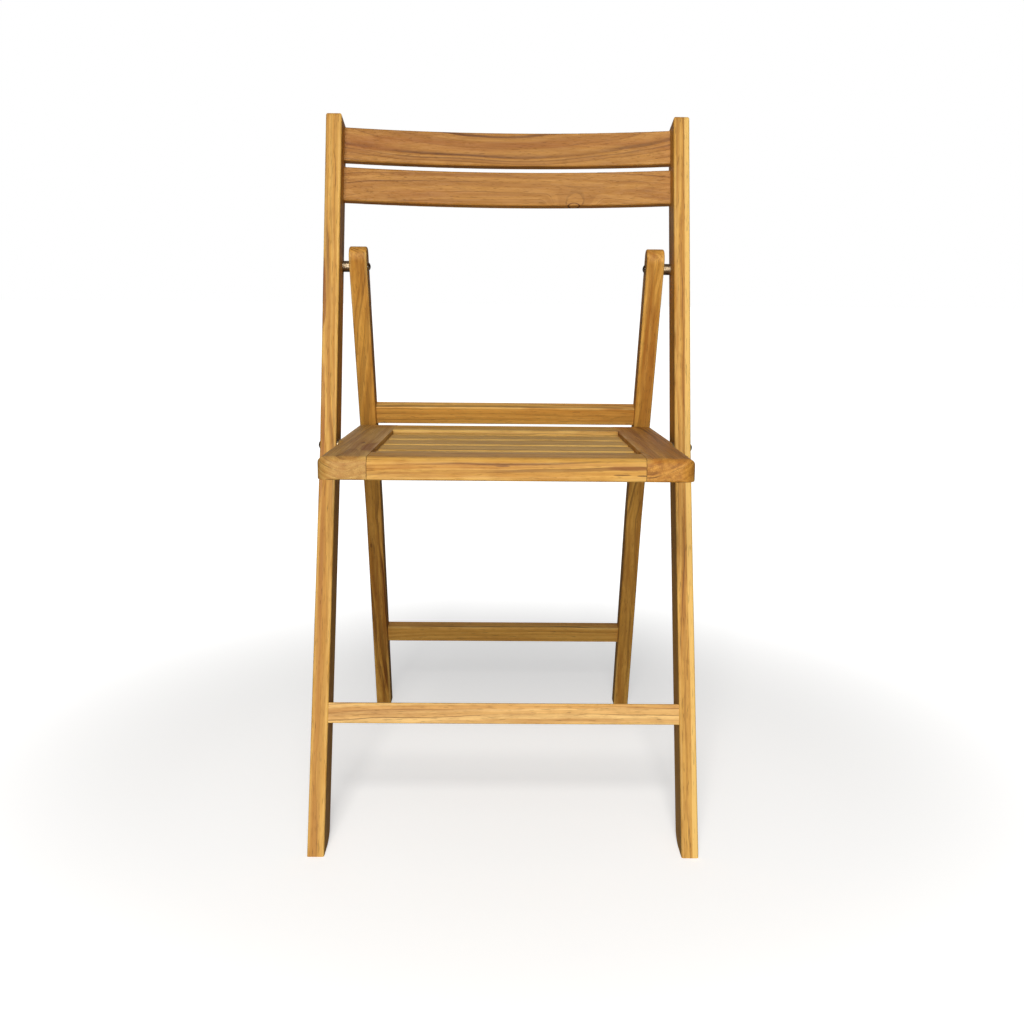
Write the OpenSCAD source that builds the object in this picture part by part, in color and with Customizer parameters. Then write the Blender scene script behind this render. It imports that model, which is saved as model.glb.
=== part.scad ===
/* [Front frame] */
// Width of the chair over the uprights
frame_width = 426; // [380:1:480]
// Thickness of an upright, seen from the front
upright_width = 18.5; // [15:0.5:26]
// Depth of an upright, seen from the side
upright_depth = 44; // [40:1:60]
// Height of the knee where an upright changes its lean
knee_height = 430; // [390:5:470]
// Lean of the front leg below the knee, in degrees
leg_part_lean = 20.1; // [16:0.1:24]
// Lean of the back above the knee, in degrees
back_part_lean = 15.3; // [12:0.1:18]
// Length of an upright above the knee
back_part_length = 390.5; // [330:0.5:450]
// Rounding of an upright's front edges
upright_front_round = 2; // [1:0.5:4]
// Rounding of an upright's rear edges
upright_rear_round = 4; // [1:0.5:6]
// Radius at the rear of a front foot
front_foot_round = 34; // [10:1:40]

/* [Front stretcher] */
// Distance from the foot to the stretcher, along the front leg
stretcher_rise = 143; // [80:1:220]
// Height of the stretcher
stretcher_height = 22.5; // [16:0.5:40]
// Thickness of the stretcher
stretcher_thickness = 16; // [10:0.5:20]

/* [Back slats] */
// Height of a back slat
back_slat_height = 41; // [30:1:42]
// Thickness of a back slat
back_slat_thickness = 12; // [10:0.5:14]
// Gap between the two back slats
back_slat_gap = 7.5; // [4:0.5:12]
// Distance from the knee to the lower slat, along the upright
back_slat_rise = 295; // [260:1:296]
// How far the slat ends sit behind the upright's front face
back_slat_setback = 28; // [24:1:29]
// How far the middle of a slat bows backward
back_slat_bow = 13; // [6:1:20]

/* [Rear legs] */
// Thickness of a rear leg, seen from the front
rear_leg_width = 21; // [16:0.5:26]
// Depth of a rear leg, seen from the side
rear_leg_depth = 25; // [22:0.5:32]
// Distance from the knee to the leg pivot, along the upright
leg_pivot_rise = 217; // [200:1:235]
// Distance of the leg pivot behind the upright's front face
leg_pivot_setback = 35; // [30:0.5:36]
// Lean of the rear leg above its bend, in degrees
rear_leg_lean = 21.9; // [20:0.1:24]
// Lean of the rear leg below its bend, in degrees
rear_leg_foot_lean = 17.4; // [14:0.1:20]
// Distance from the leg pivot to the bend
rear_leg_bend_drop = 350; // [300:5:400]
// Length of the rear leg above its pivot
rear_leg_head = 24; // [20:1:34]
// Distance from the leg pivot to the upper rail
upper_rail_drop = 186; // [160:0.5:195]
// Distance from the leg pivot to the lower rail
lower_rail_drop = 535; // [480:1:580]
// Height of a rear rail
rear_rail_height = 24; // [18:0.5:32]
// Thickness of a rear rail
rear_rail_thickness = 15; // [10:0.5:16]
// How far a rear rail sits behind the leg's front face
rear_rail_setback = 8; // [1:0.5:9]

/* [Seat] */
// Overhang of the seat in front of the front feet
seat_overhang = 45; // [20:1:60]
// Height of the seat's top at its front edge
seat_height = 446; // [430:1:460]
// Slope of the seat down to the rear, in degrees
seat_slope = 2; // [0:0.5:4]
// Length of the seat from its front edge to its rear edge
seat_length = 353; // [330:1:354]
// Thickness of the seat frame
seat_thickness = 23; // [18:0.5:26]
// Width of a seat side rail
side_rail_width = 49; // [40:1:60]
// Width of the front rail, front to rear
front_rail_width = 45; // [40:1:60]
// Radius of the seat's front corners, in plan
seat_corner_round = 15; // [6:1:20]
// Round-over along the seat's front top edge
seat_nose_round = 9; // [3:0.5:11]
// Round-over along the seat's top side edges
seat_side_round = 3; // [1:0.5:5]
// How many slats fill the seat
seat_slat_count = 5; // [4:1:6]
// Gap between seat slats
seat_slat_gap = 8; // [4:0.5:12]
// Extra width of the rearmost seat slat
rear_slat_extra = 15; // [0:1:20]
// Thickness of a seat slat
seat_slat_thickness = 12; // [9:0.5:14]
// How far the seat slats lie below the seat frame's top (the rearmost one is flush)
seat_slat_sink = 5; // [0:0.5:6]
// Rounding of a seat slat's edges
seat_slat_round = 4; // [1:0.5:5]

/* [Pivots] */
// Gap between the uprights and what turns between them
side_gap = 8.5; // [5:0.5:12]
// Outer radius of a spacer tube
spacer_radius = 6.5; // [5:0.5:8]
// Radius of a pivot bolt or screw
bolt_radius = 3; // [2:0.5:4]
// Outer radius of a sleeve nut, which the rear leg turns on
sleeve_radius = 4.2; // [3.5:0.1:5]
// Radius of the dome on a sleeve nut
nut_dome_radius = 5.4; // [5:0.1:7]
// Height of the dome on a sleeve nut
nut_dome_height = 2.8; // [1.5:0.1:4]
// Radius of a pivot screw's dome head
screw_head_radius = 5.5; // [5:0.1:7]
// Height of a pivot screw's dome head
screw_head_height = 3; // [1.5:0.1:4]
// Outer radius of the threaded insert in a side rail
insert_radius = 5; // [4.5:0.1:6]
// Length of the threaded insert
insert_length = 30; // [15:1:36]
// Distance of the seat pivot behind the front foot's front edge
seat_pivot_reach = 170; // [168:1:176]

/* [Fits] */
// Radial clearance of a turning fit
running_fit = 0.05; // [0.02:0.01:0.1]
// Clearance round a tenon or a pressed-in piece
tenon_fit = 0.1; // [0.05:0.01:0.2]
// Gap between a turning piece and the hardware beside it
face_gap = 0.3; // [0.2:0.05:0.6]
// Length of a frame tenon
tenon_length = 12; // [8:1:14]
// Length of a seat rail's tenon
seat_tenon_length = 20; // [12:1:28]

/* [Hidden] */
$fn = 48;
curve_fn = 360;

left = -1;
right = 1;

// Half-widths of the layers, from the outside in
outer_x = frame_width / 2;
inner_x = outer_x - upright_width;
moving_x = inner_x - side_gap;
leg_inner_x = moving_x - rear_leg_width;
seat_inner_x = moving_x - side_rail_width;

// The knee, on the upright's front face
knee_y = knee_height * tan(leg_part_lean);
leg_part_length = knee_height / cos(leg_part_lean);
knee_mitre_lean = (leg_part_lean + back_part_lean) / 2;

// The leg pivot and the bend in the rear leg, on the leg's centre line
leg_pivot_y = knee_y + leg_pivot_rise * sin(back_part_lean) + leg_pivot_setback * cos(back_part_lean);
leg_pivot_z = knee_height + leg_pivot_rise * cos(back_part_lean) - leg_pivot_setback * sin(back_part_lean);
bend_y = leg_pivot_y + rear_leg_bend_drop * sin(rear_leg_lean);
bend_z = leg_pivot_z - rear_leg_bend_drop * cos(rear_leg_lean);
foot_length = bend_z / cos(rear_leg_foot_lean);
foot_y = bend_y + foot_length * sin(rear_leg_foot_lean);
foot_half = rear_leg_depth / 2 / cos(rear_leg_foot_lean);

// The seat pivot, at half the seat frame's thickness
seat_pivot_z = seat_height - (seat_pivot_reach + seat_overhang) * tan(seat_slope) - seat_thickness / 2;

// The chair's middle, front to rear
middle_y = (foot_y + foot_half - seat_overhang) / 2;

// Sizes of the joinery
tenon_shoulder = 4;
stretcher_setback = 1.5;
upright_top_round = 4;
rear_leg_round = 2;
rail_round = 1.5;
slat_round = 2;
seat_rear_round = 2.5;
seat_lower_round = 2;
slat_tongue = 10;
slat_tongue_thickness = 6;
bolt_head_radius = 6;
bolt_head_height = 3.5;
nose_fade = 35;
nose_run = 145;
head_recess = 0.5;
shoulder_gap = 0.5;
dome_root = 0.5;
far = 1000;

// How far a cut runs past the face it opens, and a tenon into its own board
overrun = 1;

// Seat slats: equal widths, with a wider one at the rear edge
slat_space = seat_length - front_rail_width - seat_slat_count * seat_slat_gap - rear_slat_extra;
seat_slat_width = slat_space / seat_slat_count;

wood = "#C8924C";
wood_dark = "#A4662B";
steel = "#8A715F";

// Local frames. Each has its z along the piece and its y square to it, toward the rear.
module chair() translate([0, -middle_y, 0]) children();
module along_leg_part() rotate([-leg_part_lean, 0, 0]) children();
module along_back_part() translate([0, knee_y, knee_height]) rotate([-back_part_lean, 0, 0]) children();
module at_leg_pivot() translate([0, leg_pivot_y, leg_pivot_z]) rotate([rear_leg_lean, 0, 0]) children();
module at_leg_bend() translate([0, bend_y, bend_z]) rotate([rear_leg_foot_lean, 0, 0]) children();
module at_seat() translate([0, -seat_overhang, seat_height]) rotate([-seat_slope, 0, 0]) children();
module at_seat_pivot() translate([0, seat_pivot_reach, seat_pivot_z]) children();

// Draws a shape given for the right side on either side
module on_side(side) {
  if (side == left) mirror([1, 0, 0]) children();
  else children();
}

// Runs a profile of (y, z) along x, from one half-width to another
module across(from_x, to_x) {
  translate([from_x, 0, 0]) rotate([90, 0, 90]) linear_extrude(to_x - from_x) children();
}

// A rectangle from the origin whose near and far corners have their own radii
module soft_rect(w, d, near, far_r) {
  translate([0, near]) square([w, d - near - far_r]);
  translate([near, 0]) square([w - 2 * near, d / 2]);
  translate([far_r, d / 2]) square([w - 2 * far_r, d / 2]);
  for (x = [near, w - near]) translate([x, near]) circle(near);
  for (x = [far_r, w - far_r]) translate([x, d - far_r]) circle(far_r);
}

// What a round corner takes away: the wedge outside a circle that two edges touch
module corner_waste(centre, r, from_deg, to_deg) {
  reach = r + 2 * overrun;
  middle_deg = (from_deg + to_deg) / 2;
  tip = reach / cos((to_deg - from_deg) / 2);
  difference() {
    translate(centre) polygon([
      [0, 0],
      [reach * cos(from_deg), reach * sin(from_deg)],
      [tip * cos(middle_deg), tip * sin(middle_deg)],
      [reach * cos(to_deg), reach * sin(to_deg)]
    ]);
    translate(centre) circle(r);
  }
}

// A rod along x from one half-width to another
module rod(r, from_x, to_x) {
  translate([from_x, 0, 0]) rotate([0, 90, 0]) cylinder(r = r, h = to_x - from_x);
}

// A low dome on the plane z = 0
module dome(r, h) {
  ball = (r * r + h * h) / (2 * h);
  intersection() {
    translate([0, 0, h - ball]) sphere(ball);
    cylinder(r = r, h = h);
  }
}

// Everything below (side -1) or above (side 1) a plane through the origin
module half_space(side) {
  translate([-far, -far, side > 0 ? 0 : -2 * far]) cube([2 * far, 2 * far, 2 * far]);
}

// Uprights
module upright_leg_part() {
  intersection() {
    along_leg_part() translate([inner_x, 0, -upright_depth])
      linear_extrude(leg_part_length + 2 * upright_depth)
        soft_rect(upright_width, upright_depth, upright_front_round, upright_rear_round);
    half_space(1);
    translate([0, knee_y, knee_height]) rotate([-knee_mitre_lean, 0, 0]) half_space(-1);
  }
}

module upright_back_part() {
  intersection() {
    along_back_part() translate([inner_x, 0, -upright_depth])
      linear_extrude(back_part_length + upright_depth)
        soft_rect(upright_width, upright_depth, upright_front_round, upright_rear_round);
    translate([0, knee_y, knee_height]) rotate([-knee_mitre_lean, 0, 0]) half_space(1);
    along_back_part() across(inner_x, outer_x) translate([0, -upright_depth])
      soft_rect(upright_depth, back_part_length + upright_depth, upright_front_round, upright_top_round);
    along_back_part() translate([inner_x, upright_depth, -upright_depth]) rotate([90, 0, 0])
      linear_extrude(upright_depth)
        soft_rect(upright_width, back_part_length + upright_depth, upright_front_round, upright_top_round);
  }
}

module front_foot_waste() {
  sole = upright_depth / cos(leg_part_lean);
  run = front_foot_round * tan((90 - leg_part_lean) / 2);
  across(inner_x - overrun, outer_x + overrun)
    corner_waste([sole - run, front_foot_round], front_foot_round, -90, -leg_part_lean);
}

module upright(side) {
  on_side(side) color(wood) chair() difference() {
    union() {
      upright_leg_part();
      upright_back_part();
    }
    front_foot_waste();
    stretcher_tenon(tenon_fit);
    for (i = [0, 1]) back_slat_tenon(i, tenon_fit);
    along_back_part() translate([0, leg_pivot_setback, leg_pivot_rise]) {
      rod(bolt_radius + running_fit, inner_x - overrun, outer_x + overrun);
      rod(bolt_head_radius + tenon_fit, outer_x - bolt_head_height - tenon_fit, outer_x + overrun);
    }
    at_seat_pivot() rod(bolt_radius + running_fit, inner_x - overrun, outer_x + overrun);
  }
}

// A tenon's section inside a board's: the same shoulder all round
module tenon_section(thickness, height, fit) {
  inset = tenon_shoulder - fit;
  translate([inset, inset]) square([thickness - 2 * inset, height - 2 * inset]);
}

// Front stretcher, drawn for the right-hand tenon and mirrored for the other
module stretcher_tenon(fit) {
  along_leg_part() translate([0, stretcher_setback, stretcher_rise])
    across(inner_x - overrun, inner_x + tenon_length + fit)
      tenon_section(stretcher_thickness, stretcher_height, fit);
}

module front_stretcher() {
  color(wood) chair() {
    along_leg_part() translate([0, stretcher_setback, stretcher_rise]) across(-inner_x, inner_x)
      soft_rect(stretcher_thickness, stretcher_height, rail_round, rail_round);
    for (side = [left, right]) on_side(side) stretcher_tenon(0);
  }
}

// Back slats, counted from the lower one. Each is a ring's arc, bowed toward the rear.
function back_slat_base(i) = back_slat_rise + i * (back_slat_height + back_slat_gap);

module back_slat_tenon(i, fit) {
  setback = back_slat_setback + tenon_shoulder / 2 - fit;
  along_back_part() translate([0, setback, back_slat_base(i) + tenon_shoulder - fit])
    across(inner_x - overrun, inner_x + tenon_length + fit)
      square([back_slat_thickness - tenon_shoulder + 2 * fit, back_slat_height - 2 * tenon_shoulder + 2 * fit]);
}

module back_slat(i) {
  bow_radius = (inner_x * inner_x + back_slat_bow * back_slat_bow) / (2 * back_slat_bow);
  half_turn = asin((inner_x + overrun) / bow_radius);
  color(wood) chair() {
    along_back_part() translate([0, 0, back_slat_base(i)]) intersection() {
      translate([0, back_slat_setback + back_slat_bow - bow_radius, 0]) rotate([0, 0, 90 - half_turn])
        rotate_extrude(angle = 2 * half_turn, $fn = curve_fn) translate([bow_radius, 0])
          soft_rect(back_slat_thickness, back_slat_height, slat_round, slat_round);
      translate([-inner_x, -far, -overrun])
        cube([2 * inner_x, 2 * far, back_slat_height + 2 * overrun]);
    }
    for (side = [left, right]) on_side(side) back_slat_tenon(i, 0);
  }
}

// Rear legs
module rear_leg_stock(from_z, to_z) {
  translate([leg_inner_x, -rear_leg_depth / 2, from_z]) linear_extrude(to_z - from_z)
    soft_rect(rear_leg_width, rear_leg_depth, rear_leg_round, rear_leg_round);
}

module rear_leg_top() {
  half = rear_leg_depth / 2;
  translate([leg_inner_x, 0, rear_leg_head - half]) rotate([0, 90, 0]) rotate_extrude() {
    square([half - rear_leg_round, rear_leg_width]);
    translate([0, rear_leg_round]) square([half, rear_leg_width - 2 * rear_leg_round]);
    for (z = [rear_leg_round, rear_leg_width - rear_leg_round])
      translate([half - rear_leg_round, z]) circle(rear_leg_round);
  }
}

module rear_leg(side) {
  mitre = (rear_leg_lean + rear_leg_foot_lean) / 2;
  on_side(side) color(wood_dark) chair() difference() {
    union() {
      intersection() {
        at_leg_pivot()
          rear_leg_stock(-rear_leg_bend_drop - rear_leg_depth, rear_leg_head - rear_leg_depth / 2);
        translate([0, bend_y, bend_z]) rotate([mitre, 0, 0]) half_space(1);
      }
      intersection() {
        at_leg_bend() rear_leg_stock(-foot_length - rear_leg_depth, rear_leg_depth);
        translate([0, bend_y, bend_z]) rotate([mitre, 0, 0]) half_space(-1);
        half_space(1);
      }
      at_leg_pivot() rear_leg_top();
    }
    at_leg_pivot() rod(sleeve_radius + running_fit, leg_inner_x - overrun, moving_x + overrun);
    rear_rail_tenon(upper_rail_drop, tenon_fit);
    lower_rail_place() rail_tenon_shape(tenon_fit);
  }
}

// Rear rails lie between the legs, a little behind the legs' front faces
module rail_tenon_shape(fit) {
  across(leg_inner_x - overrun, leg_inner_x + tenon_length + fit)
    tenon_section(rear_rail_thickness, rear_rail_height, fit);
}

module rear_rail_place(drop) {
  at_leg_pivot() translate([0, rear_rail_setback - rear_leg_depth / 2, -drop - rear_rail_height]) children();
}

module lower_rail_place() {
  at_leg_bend() translate([0, rear_rail_setback - rear_leg_depth / 2,
    rear_leg_bend_drop - lower_rail_drop - rear_rail_height]) children();
}

module rear_rail_tenon(drop, fit) rear_rail_place(drop) rail_tenon_shape(fit);

module rail_body() {
  across(-leg_inner_x, leg_inner_x) soft_rect(rear_rail_thickness, rear_rail_height, rail_round, rail_round);
  for (side = [left, right]) on_side(side) rail_tenon_shape(0);
}

module rear_rail_upper() color(wood_dark) chair() rear_rail_place(upper_rail_drop) rail_body();
module rear_rail_lower() color(wood_dark) chair() lower_rail_place() rail_body();

// Seat: side rails, front rail and slats
module front_rail_tenon(fit) {
  translate([0, 0, -seat_thickness])
    across(seat_inner_x - shoulder_gap - overrun, seat_inner_x + seat_tenon_length + fit)
    translate([seat_nose_round - fit, 2 * tenon_shoulder - fit])
      square([front_rail_width - seat_nose_round - tenon_shoulder + 2 * fit,
        seat_thickness - 4 * tenon_shoulder + 2 * fit]);
}

function slat_from(i) = front_rail_width + seat_slat_gap + (i - 1) * (seat_slat_width + seat_slat_gap);
function slat_sink(i) = i == seat_slat_count ? 0 : seat_slat_sink;
function slat_width(i) = seat_slat_width + (i == seat_slat_count ? rear_slat_extra : 0);

module slat_tongue(i, fit) {
  drop = slat_sink(i) + (seat_slat_thickness + slat_tongue_thickness) / 2;
  translate([0, 0, -drop]) across(seat_inner_x - overrun, seat_inner_x + slat_tongue + fit)
    translate([slat_from(i) + tenon_shoulder - fit, -fit])
      square([slat_width(i) - 2 * tenon_shoulder + 2 * fit, slat_tongue_thickness + 2 * fit]);
}

module side_rail_blank() {
  intersection() {
    translate([seat_inner_x, 0, -seat_thickness]) linear_extrude(seat_thickness) difference() {
      square([side_rail_width, seat_length]);
      translate([side_rail_width, 0])
        corner_waste([-seat_corner_round, seat_corner_round], seat_corner_round, -90, 0);
      translate([side_rail_width, seat_length])
        corner_waste([-seat_rear_round, -seat_rear_round], seat_rear_round, 0, 90);
    }
    across(seat_inner_x, moving_x) seat_profile(seat_length, seat_rear_round);
    translate([seat_inner_x, seat_length, -seat_thickness]) rotate([90, 0, 0])
      linear_extrude(seat_length) difference() {
        square([side_rail_width, seat_thickness]);
        translate([side_rail_width, seat_thickness])
          corner_waste([-seat_side_round, -seat_side_round], seat_side_round, 0, 90);
        translate([side_rail_width, 0])
          corner_waste([-seat_lower_round, seat_lower_round], seat_lower_round, -90, 0);
      }
  }
}

// Side view of the seat frame: a round nose at the front, small roundings elsewhere
module seat_profile(length, rear_r) {
  translate([0, -seat_thickness]) difference() {
    square([length, seat_thickness]);
    corner_waste([seat_nose_round, seat_thickness - seat_nose_round], seat_nose_round, 90, 180);
    corner_waste([seat_lower_round, seat_lower_round], seat_lower_round, 180, 270);
    corner_waste([length - rear_r, seat_thickness - rear_r], rear_r, 0, 90);
    corner_waste([length - rear_r, rear_r], rear_r, -90, 0);
  }
}

// The heavy round-over on the side's top edge ends in front of the upright and fades out
module side_nose_waste() {
  profile_x = moving_x - seat_nose_round;
  translate([profile_x, nose_run, -seat_nose_round]) {
    rotate([90, 0, 0]) linear_extrude(nose_run + overrun) corner_waste([0, 0], seat_nose_round, 0, 90);
    rotate([atan(seat_nose_round / nose_fade), 0, 0]) rotate([-90, 0, 0]) mirror([0, 1, 0])
      linear_extrude(2 * nose_fade) corner_waste([0, 0], seat_nose_round, 0, 90);
  }
}

module seat_side_rail(side) {
  on_side(side) color(wood) chair() difference() {
    at_seat() difference() {
      side_rail_blank();
      side_nose_waste();
      front_rail_tenon(tenon_fit);
      for (i = [1 : seat_slat_count]) slat_tongue(i, tenon_fit);
    }
    at_seat_pivot() rod(insert_radius + tenon_fit, moving_x - insert_length - tenon_fit, moving_x + overrun);
  }
}

module seat_front_rail() {
  color(wood) chair() at_seat() {
    across(shoulder_gap - seat_inner_x, seat_inner_x - shoulder_gap)
      seat_profile(front_rail_width, slat_round);
    for (side = [left, right]) on_side(side) front_rail_tenon(0);
  }
}

module seat_slat(i) {
  color(wood) chair() at_seat() {
    translate([0, slat_from(i), -slat_sink(i) - seat_slat_thickness]) across(-seat_inner_x, seat_inner_x)
      soft_rect(slat_width(i), seat_slat_thickness, seat_slat_round, seat_slat_round);
    for (side = [left, right]) on_side(side) slat_tongue(i, 0);
  }
}

// Pivot hardware for the rear legs
module leg_pivot_bolt(side) {
  on_side(side) color(steel) chair() at_leg_pivot() {
    rod(bolt_radius, leg_inner_x, outer_x - overrun);
    rod(bolt_head_radius, outer_x - bolt_head_height, outer_x - head_recess);
  }
}

module leg_pivot_nut(side) {
  on_side(side) color(steel) chair() at_leg_pivot() difference() {
    union() {
      rod(sleeve_radius, leg_inner_x - face_gap - dome_root, moving_x);
      translate([leg_inner_x - face_gap, 0, 0]) rotate([0, -90, 0]) dome(nut_dome_radius, nut_dome_height);
    }
    rod(bolt_radius + running_fit, leg_inner_x - running_fit, moving_x + overrun);
  }
}

module spacer() {
  difference() {
    rod(spacer_radius, moving_x + face_gap, inner_x);
    rod(bolt_radius + running_fit, moving_x, inner_x + overrun);
  }
}

module leg_pivot_spacer(side) on_side(side) color(steel) chair() at_leg_pivot() spacer();

// Pivot hardware for the seat
module seat_pivot_screw(side) {
  on_side(side) color(steel) chair() at_seat_pivot() {
    rod(bolt_radius, moving_x - insert_length, outer_x + face_gap + dome_root);
    translate([outer_x + face_gap, 0, 0]) rotate([0, 90, 0]) dome(screw_head_radius, screw_head_height);
  }
}

module seat_pivot_insert(side) {
  on_side(side) color(steel) chair() at_seat_pivot() difference() {
    rod(insert_radius, moving_x - insert_length, moving_x);
    rod(bolt_radius + running_fit, moving_x - insert_length - overrun, moving_x + overrun);
  }
}

module seat_pivot_spacer(side) on_side(side) color(steel) chair() at_seat_pivot() spacer();

upright(left);  // upright_left
upright(right);  // upright_right
back_slat(1);  // back_slat_top
back_slat(0);  // back_slat_lower
front_stretcher();
rear_leg(left);  // rear_leg_left
rear_leg(right);  // rear_leg_right
rear_rail_upper();
rear_rail_lower();
seat_side_rail(left);  // seat_side_rail_left
seat_side_rail(right);  // seat_side_rail_right
seat_front_rail();
for (i = [1 : seat_slat_count]) seat_slat(i);
leg_pivot_bolt(left);  // leg_pivot_bolt_left
leg_pivot_bolt(right);  // leg_pivot_bolt_right
leg_pivot_nut(left);  // leg_pivot_nut_left
leg_pivot_nut(right);  // leg_pivot_nut_right
leg_pivot_spacer(left);  // leg_pivot_spacer_left
leg_pivot_spacer(right);  // leg_pivot_spacer_right
seat_pivot_screw(left);  // seat_pivot_screw_left
seat_pivot_screw(right);  // seat_pivot_screw_right
seat_pivot_insert(left);  // seat_pivot_insert_left
seat_pivot_insert(right);  // seat_pivot_insert_right
seat_pivot_spacer(left);  // seat_pivot_spacer_left
seat_pivot_spacer(right);  // seat_pivot_spacer_right
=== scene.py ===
import math
import bpy
from mathutils import Matrix, Vector


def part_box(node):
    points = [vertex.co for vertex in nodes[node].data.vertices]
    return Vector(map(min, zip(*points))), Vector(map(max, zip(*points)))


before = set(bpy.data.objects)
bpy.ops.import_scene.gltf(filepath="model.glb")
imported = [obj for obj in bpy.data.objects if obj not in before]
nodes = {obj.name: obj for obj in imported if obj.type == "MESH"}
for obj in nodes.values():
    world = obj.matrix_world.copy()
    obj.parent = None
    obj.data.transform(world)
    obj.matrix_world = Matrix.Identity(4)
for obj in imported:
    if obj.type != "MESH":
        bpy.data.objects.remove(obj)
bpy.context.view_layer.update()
print("frame loaded:", len(nodes), "nodes")

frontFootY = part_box("upright_left")[0].y  # the front feet's front edges


def addNode(tree, kind, **values):
    node = tree.nodes.new(kind)
    for key, value in values.items():
        setattr(node, key, value)
    return node


def plug(tree, socket, value):
    # a socket is linked, a number or colour is set
    if isinstance(value, bpy.types.NodeSocket):
        tree.links.new(value, socket)
    else:
        socket.default_value = value


def mathNode(tree, operation, first, second=None, third=None):
    node = addNode(tree, "ShaderNodeMath", operation=operation)
    for socket, value in zip(node.inputs, (first, second, third)):
        if value is not None:
            plug(tree, socket, value)
    return node.outputs[0]


def times(tree, first, second):
    return mathNode(tree, "MULTIPLY", first, second)


def noiseNode(tree, vector, scale, detail=2.0, roughness=0.5):
    node = addNode(tree, "ShaderNodeTexNoise")
    plug(tree, node.inputs["Vector"], vector)
    node.inputs["Scale"].default_value = scale
    node.inputs["Detail"].default_value = detail
    node.inputs["Roughness"].default_value = roughness
    return node.outputs["Fac"]


def rangeNode(tree, value, fromLow, fromHigh, toLow=0.0, toHigh=1.0):
    node = addNode(tree, "ShaderNodeMapRange", interpolation_type="SMOOTHSTEP")
    for socket, number in zip(node.inputs, (value, fromLow, fromHigh, toLow, toHigh)):
        plug(tree, socket, number)
    return node.outputs[0]


def mixColour(tree, amount, first, second):
    node = addNode(tree, "ShaderNodeMix", data_type="RGBA")
    plug(tree, node.inputs["Factor"], amount)
    plug(tree, node.inputs["A"], first)
    plug(tree, node.inputs["B"], second)
    return node.outputs["Result"]


def stretchNode(tree, vector, factors, shift=(0, 0, 0)):
    node = addNode(tree, "ShaderNodeMapping")
    plug(tree, node.inputs["Vector"], vector)
    node.inputs["Scale"].default_value = factors
    node.inputs["Location"].default_value = shift
    return node.outputs[0]


def addBump(tree, shader, height, strength, distance):
    bump = addNode(tree, "ShaderNodeBump")
    bump.inputs["Strength"].default_value = strength
    bump.inputs["Distance"].default_value = distance
    plug(tree, bump.inputs["Height"], height)
    plug(tree, shader.inputs["Normal"], bump.outputs[0])


def newMaterial(name):
    material = bpy.data.materials.new(name)
    material.use_nodes = True
    return material, material.node_tree, material.node_tree.nodes["Principled BSDF"]


def linear(channel):
    # one screen channel from 0 to 255, made linear
    share = channel / 255
    return ((share + 0.055) / 1.055) ** 2.4 if channel > 10 else share / 12.92


def rgb(*channels):
    return tuple(linear(c) for c in channels) + (1.0,)


# board coordinates are x across, y through the depth and z along the grain
def straightBoard(tree, settings):
    coordinates = addNode(tree, "ShaderNodeTexCoord").outputs["Object"]
    moved = addNode(tree, "ShaderNodeMapping", vector_type="TEXTURE")
    plug(tree, moved.inputs["Vector"], coordinates)
    moved.inputs["Location"].default_value = settings["centre"]
    moved.inputs["Rotation"].default_value = [math.radians(a) for a in settings.get("turn", (0, 0, 0))]
    split = addNode(tree, "ShaderNodeSeparateXYZ")
    plug(tree, split.inputs[0], moved.outputs[0])
    order = {"x": (1, 2, 0), "y": (0, 2, 1), "z": (0, 1, 2)}[settings["grain"]]
    return [split.outputs[i] for i in order]


def bentBoard(tree, settings):
    # the front face is two straight lines, so depth and length are counted from it
    coordinates = addNode(tree, "ShaderNodeTexCoord").outputs["Object"]
    split = addNode(tree, "ShaderNodeSeparateXYZ")
    plug(tree, split.inputs[0], coordinates)
    lowSlope, highSlope = (math.tan(math.radians(a)) for a in settings["leans"])
    bendHeight = settings["bend"]
    low = times(tree, mathNode(tree, "MINIMUM", split.outputs[2], bendHeight), lowSlope)
    above = mathNode(tree, "MAXIMUM", mathNode(tree, "SUBTRACT", split.outputs[2], bendHeight), 0.0)
    faceY = mathNode(tree, "MULTIPLY_ADD", above, highSlope, mathNode(tree, "ADD", low, settings["footY"]))
    behindFace = mathNode(tree, "SUBTRACT", split.outputs[1], faceY)
    depth = times(tree, behindFace, math.cos(math.radians(settings["leans"][0])))
    across = mathNode(tree, "SUBTRACT", split.outputs[0], settings["centre"][0])
    return [across, mathNode(tree, "SUBTRACT", depth, settings["section"][1] / 2), split.outputs[2]]


# tones of the wood, as seen on screen
# the palest tone also paints the highlights on arrises and on the right upright's outer strip
honey = {"pale": rgb(228, 176, 84), "body": rgb(202, 144, 58), "deep": rgb(146, 86, 26),
         "line": rgb(84, 42, 12), "red": rgb(150, 76, 22), "paleWoodAndHighlight": rgb(244, 200, 112)}
russet = dict(honey, pale=rgb(214, 154, 66), body=rgb(190, 128, 48), deep=rgb(142, 84, 26))
olive = dict(honey, pale=rgb(242, 196, 104), body=rgb(222, 170, 80), deep=rgb(160, 112, 44))
ashen = dict(honey, pale=rgb(206, 164, 90), body=rgb(182, 132, 66))
slatTones = dict(honey, pale=rgb(196, 140, 66), body=rgb(176, 120, 50), deep=rgb(138, 84, 28))
railTones = dict(honey, pale=rgb(240, 186, 92), body=rgb(216, 156, 70), deep=rgb(168, 108, 40))
legTones = dict(honey, pale=rgb(228, 172, 80))
stretcherTones = dict(honey, pale=rgb(244, 200, 124), body=rgb(226, 170, 92))
poreTone = rgb(82, 46, 20)
speckTone = rgb(86, 46, 18)

# every board's paler arrises are partly wear and partly painted highlight
# what every board has unless it says otherwise
plainBoard = {"tones": honey, "heart": (0.05, 0.09), "rings": 300.0, "figure": 0.03, "taper": 0.012,
              "lines": 0.55, "lineDepth": 0.9, "streaks": 0.6, "redness": 0.45, "edgeWearAndHighlight": 0.5, "band": 0.004,
              "specks": 0.5, "gloss": 0.44, "patches": [], "knots": []}

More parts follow.
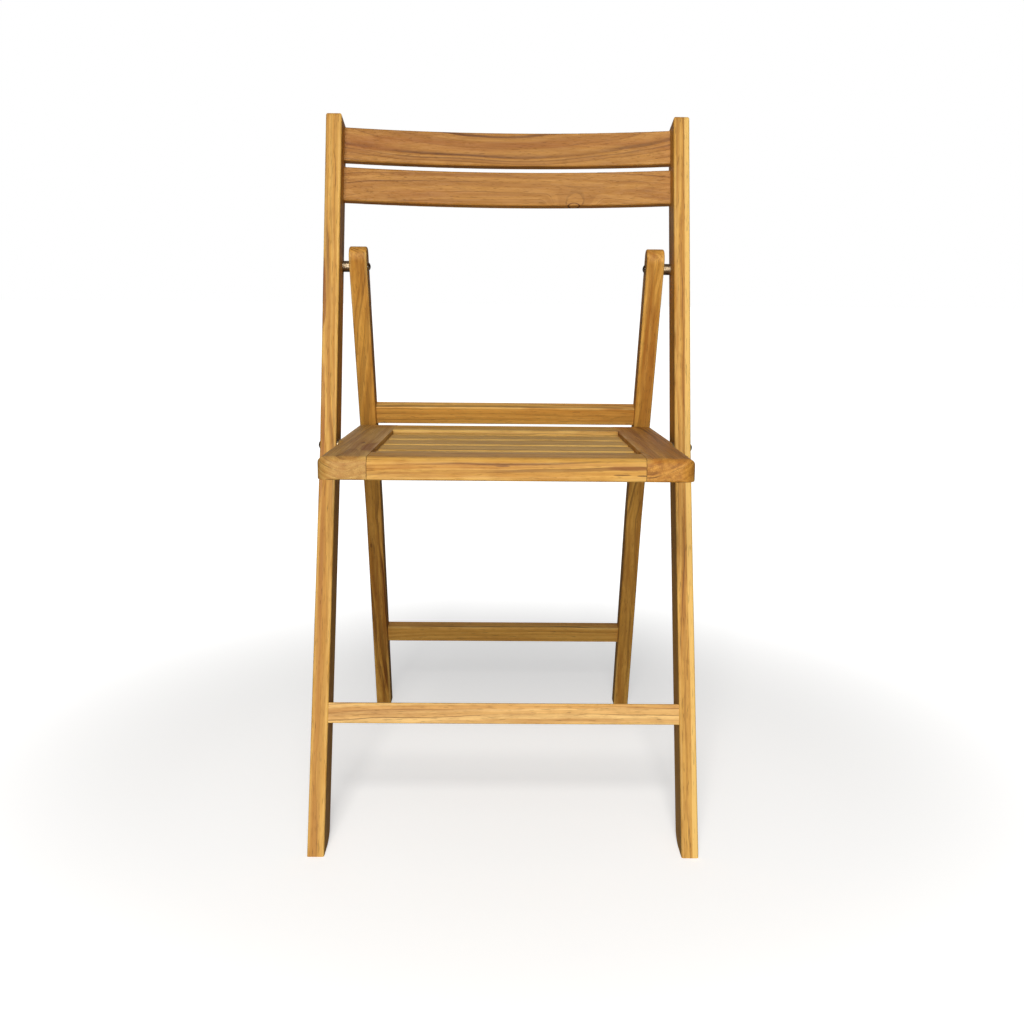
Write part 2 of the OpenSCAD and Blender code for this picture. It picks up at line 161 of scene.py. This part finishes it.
# each layer's noise: how often it changes per metre across, through and along, and how fine it is
woodLayers = {
    "wander": {"stretch": (9, 9, 2.2), "detail": 3.0},
    "ripple": {"stretch": (45, 45, 8)},
    "faint": {"stretch": (70, 70, 5)},
    "fibre": {"stretch": (900, 900, 14), "detail": 3.0, "roughness": 0.6},
    "streak": {"stretch": (170, 170, 3.6), "detail": 4.0, "roughness": 0.62},
    "pores": {"stretch": (1300, 1300, 80), "detail": 1.0},
    "drift": {"stretch": (16, 16, 3)},
    "redness": {"stretch": (55, 55, 2.4), "detail": 3.0},
    "mottle": {"stretch": (120, 120, 40), "detail": 4.0, "roughness": 0.65},
    "arrisBreakup": {"stretch": (60, 60, 22), "detail": 3.0},
}
finish = {"glossSpread": 0.16, "rubbedGloss": 0.12, "specular": 0.25, "bump": 0.35, "bumpDepth": 0.0006}


def layerNoise(tree, shifted, layer):
    look = woodLayers[layer]
    stretched = stretchNode(tree, shifted, look["stretch"])
    return noiseNode(tree, stretched, 1.0, look.get("detail", 2.0), look.get("roughness", 0.5))


def blendTone(tree, colour, amount, strength, tone):
    return mixColour(tree, times(tree, amount, strength), colour, tone)


def veil(tree, colour, noise, low, high, strength, tone):
    return mixColour(tree, rangeNode(tree, noise, low, high, 0.0, strength), colour, tone)


def patchMask(tree, place, ragged, patch):
    # an uneven oval round a place on the board: 1 inside, 0 outside
    away = addNode(tree, "ShaderNodeMapping", vector_type="TEXTURE")
    plug(tree, away.inputs["Vector"], place)
    away.inputs["Location"].default_value = patch["place"]
    away.inputs["Scale"].default_value = patch["size"]
    length = addNode(tree, "ShaderNodeVectorMath", operation="LENGTH")
    plug(tree, length.inputs[0], away.outputs[0])
    raggedness = patch.get("ragged", 0.8)
    distance = mathNode(tree, "MULTIPLY_ADD", ragged, raggedness, length.outputs["Value"])
    edge = 1.0 + raggedness / 2
    return rangeNode(tree, distance, edge - patch.get("blur", 0.3), edge, 1.0, 0.0), length.outputs["Value"]


def growthRings(tree, board, shifted, settings):
    # rings round a heart that lies outside the board, wandering along its length
    across, depth, along = board["axes"]
    heartX, heartY = settings["heart"]
    dx = mathNode(tree, "SUBTRACT", across, heartX)
    dy = mathNode(tree, "SUBTRACT", depth, heartY)
    squares = mathNode(tree, "MULTIPLY_ADD", dx, dx, times(tree, dy, dy))
    radius = mathNode(tree, "SQRT", squares)
    radius = mathNode(tree, "MULTIPLY_ADD", board["wander"], settings["figure"], radius)
    radius = mathNode(tree, "MULTIPLY_ADD", layerNoise(tree, shifted, "ripple"), 0.005, radius)
    radius = mathNode(tree, "MULTIPLY_ADD", along, settings["taper"], radius)
    for knot in settings["knots"]:
        swirl = dict(knot, size=knot["swirl"], blur=1.0, ragged=0.0)
        around, _ = patchMask(tree, board["place"], 0.0, swirl)
        radius = mathNode(tree, "MULTIPLY_ADD", around, knot["lift"], radius)
    spread = mathNode(tree, "MULTIPLY_ADD", radius, settings["rings"], settings["seed"] * 7.3)
    rings = addNode(tree, "ShaderNodeTexNoise", noise_dimensions="1D")
    plug(tree, rings.inputs["W"], spread)
    rings.inputs["Scale"].default_value = 0.8
    rings.inputs["Detail"].default_value = 1.5
    return spread, rings.outputs["Fac"]


def lateWood(tree, shifted, spread, rings, settings):
    # thin dark lines, uneven in spacing and strength, that rise slowly and end sharply
    step = times(tree, spread, settings["lines"])
    saw = mathNode(tree, "FRACT", mathNode(tree, "MULTIPLY_ADD", rings, 1.3, step))
    rise = rangeNode(tree, saw, 0.72, 0.94)
    fall = rangeNode(tree, saw, 0.94, 1.0, 1.0, 0.0)
    faint = rangeNode(tree, layerNoise(tree, shifted, "faint"), 0.36, 0.66, 0.12, 1.0)
    return times(tree, times(tree, rise, fall), faint)


def wornAndHighlitArris(tree, board, shifted, settings):
    # paler arrises, partly rubbed by hands and feet and partly painted highlight on rounded edges, broken up
    # by noise
    across, depth, _ = board["axes"]
    nearness = []
    for distance, size in zip((across, depth), settings["section"]):
        reach = mathNode(tree, "ABSOLUTE", distance)
        nearness.append(rangeNode(tree, reach, size / 2 - settings["band"], size / 2 - 0.0005))
    arrisBreakup = rangeNode(tree, layerNoise(tree, shifted, "arrisBreakup"), 0.3, 0.62)
    return times(tree, times(tree, nearness[0], nearness[1]), arrisBreakup)


def scatterSpecks(tree, shifted):
    # small dents and dark specks, here and there
    cells = addNode(tree, "ShaderNodeTexVoronoi", feature="F1")
    plug(tree, cells.inputs["Vector"], stretchNode(tree, shifted, (1, 1, 0.4)))
    cells.inputs["Scale"].default_value = 30.0
    sparse = addNode(tree, "ShaderNodeSeparateColor")
    plug(tree, sparse.inputs[0], cells.outputs["Color"])
    chosen = mathNode(tree, "GREATER_THAN", sparse.outputs[0], 0.72)
    return times(tree, rangeNode(tree, cells.outputs["Distance"], 0.02, 0.07, 1.0, 0.0), chosen)


def addKnot(tree, board, colour, knot, tones):
    # a paler core with a thin dark rim
    core, rimAway = patchMask(tree, board["place"], 0.0, dict(knot, blur=0.2, ragged=0.0))
    colour = blendTone(tree, colour, core, 0.35, tones["pale"])
    offRim = mathNode(tree, "ABSOLUTE", mathNode(tree, "SUBTRACT", rimAway, 1.0))
    return mixColour(tree, rangeNode(tree, offRim, 0.02, 0.13, 0.85, 0.0), colour, tones["line"])


def makeWood(name, settings):
    material, tree, shader = newMaterial(name)
    tones = settings["tones"]
    seed = settings["seed"]
    makeBoard = bentBoard if "leans" in settings else straightBoard
    axes = makeBoard(tree, settings)
    combined = addNode(tree, "ShaderNodeCombineXYZ")
    for socket, value in zip(combined.inputs, axes):
        plug(tree, socket, value)
    shifted = stretchNode(tree, combined.outputs[0], (1, 1, 1), (seed * 0.37, seed * 0.61, seed * 0.23))
    board = {"axes": axes, "place": combined.outputs[0], "wander": layerNoise(tree, shifted, "wander")}

    spread, rings = growthRings(tree, board, shifted, settings)
    ringShade = rangeNode(tree, rings, 0.34, 0.66)
    line = lateWood(tree, shifted, spread, rings, settings)
    fibre = layerNoise(tree, shifted, "fibre")
    mottle = layerNoise(tree, shifted, "mottle")
    pores = rangeNode(tree, layerNoise(tree, shifted, "pores"), 0.62, 0.72)
    redness = rangeNode(tree, layerNoise(tree, shifted, "redness"), 0.52, 0.74)

    colour = mixColour(tree, ringShade, tones["body"], tones["pale"])
    streak = layerNoise(tree, shifted, "streak")
    colour = veil(tree, colour, streak, 0.4, 0.7, settings["streaks"], tones["deep"])
    colour = blendTone(tree, colour, redness, settings["redness"], tones["red"])
    colour = blendTone(tree, colour, line, settings["lineDepth"], tones["line"])
    colour = veil(tree, colour, fibre, 0.35, 0.7, 0.25, tones["deep"])
    colour = veil(tree, colour, mottle, 0.4, 0.7, 0.28, tones["deep"])
    colour = veil(tree, colour, layerNoise(tree, shifted, "drift"), 0.35, 0.7, 0.3, tones["pale"])
    if "sapAndHighlightFrom" in settings:
        # a paler strip along one side, with a wavering border: sapwood, and partly painted highlight along
        # that edge
        border = mathNode(tree, "MULTIPLY_ADD", board["wander"], 0.006, axes[0])
        sapAndHighlightStrip = rangeNode(tree, border, settings["sapAndHighlightFrom"], settings["sapAndHighlightFrom"] + 0.0012)
        colour = blendTone(tree, colour, sapAndHighlightStrip, 0.75, tones["paleWoodAndHighlight"])
    for patch in settings["patches"]:
        mask, _ = patchMask(tree, board["place"], mottle, patch)
        colour = blendTone(tree, colour, mask, patch.get("strength", 0.7), patch["tone"])
    for knot in settings["knots"]:
        colour = addKnot(tree, board, colour, knot, tones)
    colour = blendTone(tree, colour, pores, 0.45, poreTone)
    # paler arrises: partly wear, partly painted highlight on the rounded edges
    arrisWearAndHighlight = wornAndHighlitArris(tree, board, shifted, settings)
    colour = blendTone(tree, colour, arrisWearAndHighlight, settings["edgeWearAndHighlight"], tones["paleWoodAndHighlight"])
    speck = scatterSpecks(tree, shifted)
    colour = blendTone(tree, colour, speck, settings["specks"], speckTone)
    plug(tree, shader.inputs["Base Color"], colour)

    gloss = settings["gloss"]
    rough = rangeNode(tree, fibre, 0.3, 0.7, gloss, gloss + finish["glossSpread"])
    rough = mathNode(tree, "SUBTRACT", rough, times(tree, arrisWearAndHighlight, finish["rubbedGloss"]))
    plug(tree, shader.inputs["Roughness"], rough)
    shader.inputs["Specular IOR Level"].default_value = finish["specular"]

    relief = mathNode(tree, "MULTIPLY_ADD", fibre, 0.5, times(tree, ringShade, 0.3))
    for dip, depth in ((pores, 0.6), (line, 0.3), (speck, 0.8)):
        relief = mathNode(tree, "SUBTRACT", relief, times(tree, dip, depth))
    addBump(tree, shader, relief, finish["bump"], finish["bumpDepth"])
    return material


def boxCentre(node):
    low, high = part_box(node)
    return (low + high) / 2


def dress(node, material):
    mesh = nodes[node].data
    mesh.materials.clear()
    mesh.materials.append(material)


# leans in degrees and sizes in metres, as built; a section is the board's size across and through
legPartLean = 20.1
backPartLean = 15.3
rearLegLeans = (21.9, 17.4)
rearLegTurn = 19.8  # between the two
seatSlope = 2.0
slatCount = 5

uprightWood = dict(plainBoard, section=(0.0185, 0.044), leans=(legPartLean, backPartLean), bend=0.430,
                   footY=frontFootY, rings=320.0, streaks=0.5)
rearLegWood = dict(plainBoard, section=(0.021, 0.025), grain="z", turn=(rearLegTurn, 0, 0), tones=legTones,
                   streaks=0.65)
crossWood = dict(plainBoard, grain="x", rings=260.0, streaks=0.5)
backSlatWood = dict(crossWood, section=(0.012, 0.041), turn=(-backPartLean, 0, 0), tones=slatTones,
                    figure=0.02, edgeWearAndHighlight=0.1)
rearRailWood = dict(crossWood, section=(0.015, 0.024), tones=railTones, redness=0.35)
sideRailWood = dict(plainBoard, section=(0.049, 0.023), grain="y", turn=(-seatSlope, 0, 0), band=0.008)
seatSlatWood = dict(plainBoard, section=(0.0508, 0.012), grain="x", turn=(-seatSlope, 0, 0), tones=olive,
                    heart=(0.03, 0.05), edgeWearAndHighlight=0.8)

# dark stains on the left upright's outer edge and on the left side rail
uprightStains = [
    {"place": (-0.0088, -0.018, 0.600), "size": (0.0045, 0.02, 0.05), "tone": rgb(126, 62, 24)},
    {"place": (-0.0085, -0.018, 0.440), "size": (0.005, 0.02, 0.10), "tone": rgb(150, 84, 38),
     "strength": 0.6}]
railStains = [
    {"place": (0.02, 0.011, -0.085), "size": (0.012, 0.03, 0.045), "tone": rgb(132, 66, 26), "strength": 0.65}]

# a long soft stain and three short cracks on the front rail's face
frontStains = [
    {"place": (-0.0225, 0.002, 0.122), "size": (0.012, 0.0035, 0.035), "tone": rgb(128, 66, 26),
     "strength": 0.6, "blur": 0.6},
    {"place": (-0.0225, -0.0052, 0.133), "size": (0.01, 0.0009, 0.008), "tone": rgb(74, 36, 14),
     "strength": 0.8, "ragged": 1.2},
    {"place": (-0.0225, -0.0045, 0.113), "size": (0.01, 0.0008, 0.010), "tone": rgb(74, 36, 14),
     "strength": 0.7, "ragged": 1.2},
    {"place": (-0.0225, 0.0035, -0.004), "size": (0.01, 0.0009, 0.009), "tone": rgb(96, 50, 20),
     "strength": 0.6, "ragged": 1.2}]

# the knot at the lower slat's bottom edge, and how far the grain swirls round it
slatKnot = {"place": (-0.006, -0.0238, 0.080), "size": (0.02, 0.0065, 0.0085),
            "swirl": (0.05, 0.030, 0.045), "lift": 0.02}

woodPieces = {
    "upright_left": dict(uprightWood, seed=1.3, redness=0.5, heart=(-0.05, 0.05), patches=uprightStains),
    # the right upright's paler outer strip is sapwood and partly painted highlight
    "upright_right": dict(uprightWood, seed=2.7, redness=0.25, heart=(0.06, 0.06), sapAndHighlightFrom=0.0058),
    "back_slat_top": dict(backSlatWood, seed=3.1, heart=(0.05, 0.04)),
    "back_slat_lower": dict(backSlatWood, seed=4.6, redness=0.4, heart=(0.04, -0.05), knots=[slatKnot]),
    "front_stretcher": dict(crossWood, section=(0.016, 0.0235), turn=(-legPartLean, 0, 0), seed=5.2,
                            redness=0.3, tones=stretcherTones),
    "rear_leg_left": dict(rearLegWood, seed=6.4),
    "rear_leg_right": dict(rearLegWood, seed=7.9, redness=0.5),
    "rear_rail_upper": dict(rearRailWood, turn=(rearLegLeans[0], 0, 0), seed=8.3),
    "rear_rail_lower": dict(rearRailWood, turn=(rearLegLeans[1], 0, 0), seed=9.1),
    "seat_side_rail_left": dict(sideRailWood, seed=10.7, heart=(0.01, 0.045), redness=0.35, edgeWearAndHighlight=0.4,
                                tones=ashen, patches=railStains),
    "seat_side_rail_right": dict(sideRailWood, seed=11.5, heart=(-0.02, 0.05), redness=0.6, streaks=0.7,
                                 edgeWearAndHighlight=0.3, tones=russet),
    "seat_front_rail": dict(crossWood, section=(0.045, 0.023), turn=(-seatSlope, 0, 0), seed=12.9,
                            redness=0.35, specks=0.8, edgeWearAndHighlight=0.35, band=0.009, patches=frontStains),
}
for number in range(1, slatCount + 1):
    redness = 0.75 if number == slatCount else 0.25  # the rearmost slat is the reddest
    woodPieces[f"seat_slat_{number}"] = dict(seatSlatWood, seed=13.0 + 1.7 * number, redness=redness)

for name, settings in woodPieces.items():
    settings["centre"] = boxCentre(name)
    dress(name, makeWood(name + "_wood", settings))
print("wood:", len(woodPieces), "boards")


def makeSteel(name, settings):
    material, tree, shader = newMaterial(name)
    coordinates = addNode(tree, "ShaderNodeTexCoord").outputs["Object"]
    turned = noiseNode(tree, stretchNode(tree, coordinates, (2600, 260, 260)), 1.0)
    patches = rangeNode(tree, noiseNode(tree, coordinates, 320.0, 4.0, 0.6), 0.42, 0.66)
    colour = mixColour(tree, patches, settings["clean"], settings["tarnish"])
    colour = veil(tree, colour, turned, 0.4, 0.7, 0.35, settings["pale"])
    plug(tree, shader.inputs["Base Color"], colour)
    shader.inputs["Metallic"].default_value = 1.0
    gloss = settings["gloss"]
    plug(tree, shader.inputs["Roughness"], rangeNode(tree, patches, 0.0, 1.0, gloss, gloss + 0.22))
    addBump(tree, shader, turned, 0.2, 0.0002)
    return material


dullSteel = makeSteel("dull_steel", {"clean": rgb(150, 132, 106), "tarnish": rgb(98, 78, 54),
                                     "pale": rgb(190, 178, 156), "gloss": 0.34})
brightSteel = makeSteel("bright_steel", {"clean": rgb(196, 190, 178), "tarnish": rgb(142, 132, 114),
                                         "pale": rgb(226, 222, 212), "gloss": 0.2})
for name in nodes:
    if "nut" in name or "screw" in name:
        dress(name, brightSteel)
    elif name not in woodPieces:
        dress(name, dullSteel)
print("steel:", len(nodes) - len(woodPieces), "pieces")


studio = {"size": 60.0, "seen": (0.8, 0.8, 0.8, 1), "unseen": (0.3, 0.3, 0.3, 1), "glowNear": 0.45,
          "glowFar": 1.0, "glowFrom": 0.4, "glowTo": 1.15, "airStrength": 0.5, "sideShade": 0.02}
white = (1, 1, 1, 1)


def cameraRay(tree):
    return addNode(tree, "ShaderNodeLightPath").outputs["Is Camera Ray"]


def makeFloor():
    # a white floor that seems endless, paler to the camera than to the chair, and glowing to the camera only
    bpy.ops.object.select_all(action="DESELECT")
    bpy.ops.mesh.primitive_plane_add(size=studio["size"], location=(0, 0, 0))
    floor = bpy.context.object
    floor.name = "studio_floor"
    pale, tree, shader = newMaterial("studio_pale")
    tint = mixColour(tree, cameraRay(tree), studio["unseen"], studio["seen"])
    plug(tree, shader.inputs["Base Color"], tint)
    shader.inputs["Roughness"].default_value = 0.95
    shader.inputs["Specular IOR Level"].default_value = 0.0
    shader.inputs["Emission Color"].default_value = white
    away = addNode(tree, "ShaderNodeVectorMath", operation="LENGTH")
    plug(tree, away.inputs[0], addNode(tree, "ShaderNodeTexCoord").outputs["Object"])
    glow = rangeNode(tree, away.outputs["Value"], studio["glowFrom"], studio["glowTo"],
                     studio["glowNear"], studio["glowFar"])
    plug(tree, shader.inputs["Emission Strength"], times(tree, cameraRay(tree), glow))
    floor.data.materials.append(pale)


def makeAir():
    # white air with dark flags at both sides of the chair
    world = bpy.data.worlds.new("studio_air")
    world.use_nodes = True
    tree = world.node_tree
    split = addNode(tree, "ShaderNodeSeparateXYZ")
    plug(tree, split.inputs[0], addNode(tree, "ShaderNodeTexCoord").outputs["Generated"])
    offMiddle = mathNode(tree, "ABSOLUTE", split.outputs[0])
    sideways = rangeNode(tree, offMiddle, 0.12, 0.5, 1.0, studio["sideShade"])
    lit = times(tree, sideways, studio["airStrength"])
    background = tree.nodes["Background"]
    background.inputs["Color"].default_value = white
    plug(tree, background.inputs["Strength"], mathNode(tree, "MAXIMUM", lit, cameraRay(tree)))
    bpy.context.scene.world = world


def addLamp(name, place, target, width, power, tint):
    data = bpy.data.lights.new(name, "AREA")
    data.size = width
    data.energy = power
    data.color = tint
    lamp = bpy.data.objects.new(name, data)
    bpy.context.scene.collection.objects.link(lamp)
    lamp.location = place
    lamp.rotation_euler = (Vector(target) - Vector(place)).to_track_quat("-Z", "Y").to_euler()


view = {"eye": (-0.00729, frontFootY - 1.1441, 0.61376), "lens": 40.18, "sensor": 36, "yaw": 0.67,
        "pitch": 11.38, "roll": -0.55}


def addCamera():
    yaw, pitch, roll = (math.radians(view[k]) for k in ("yaw", "pitch", "roll"))
    level = math.cos(pitch)
    forward = Vector((math.sin(yaw) * level, math.cos(yaw) * level, -math.sin(pitch)))
    levelRight = Vector((math.cos(yaw), -math.sin(yaw), 0))
    levelDown = forward.cross(levelRight)
    rightWay = levelRight * math.cos(roll) + levelDown * math.sin(roll)
    downWay = levelDown * math.cos(roll) - levelRight * math.sin(roll)
    data = bpy.data.cameras.new("view_camera")
    data.lens = view["lens"]
    data.sensor_width = view["sensor"]
    camera = bpy.data.objects.new("view_camera", data)
    bpy.context.scene.collection.objects.link(camera)
    turn = Matrix((rightWay, -downWay, -forward)).transposed().to_4x4()
    camera.matrix_world = Matrix.Translation(view["eye"]) @ turn
    bpy.context.scene.camera = camera


makeFloor()
makeAir()
addLamp("key_front", (-0.15, -2.5, 2.2), (0, 0, 0.42), 0.9, 45, (1.0, 0.98, 0.94))
addLamp("low_front", (-0.1, -2.3, 0.55), (0, 0, 0.25), 0.9, 25, (1.0, 0.98, 0.95))
addCamera()
bpy.context.scene.view_settings.view_transform = "Standard"
print("studio and camera ready")
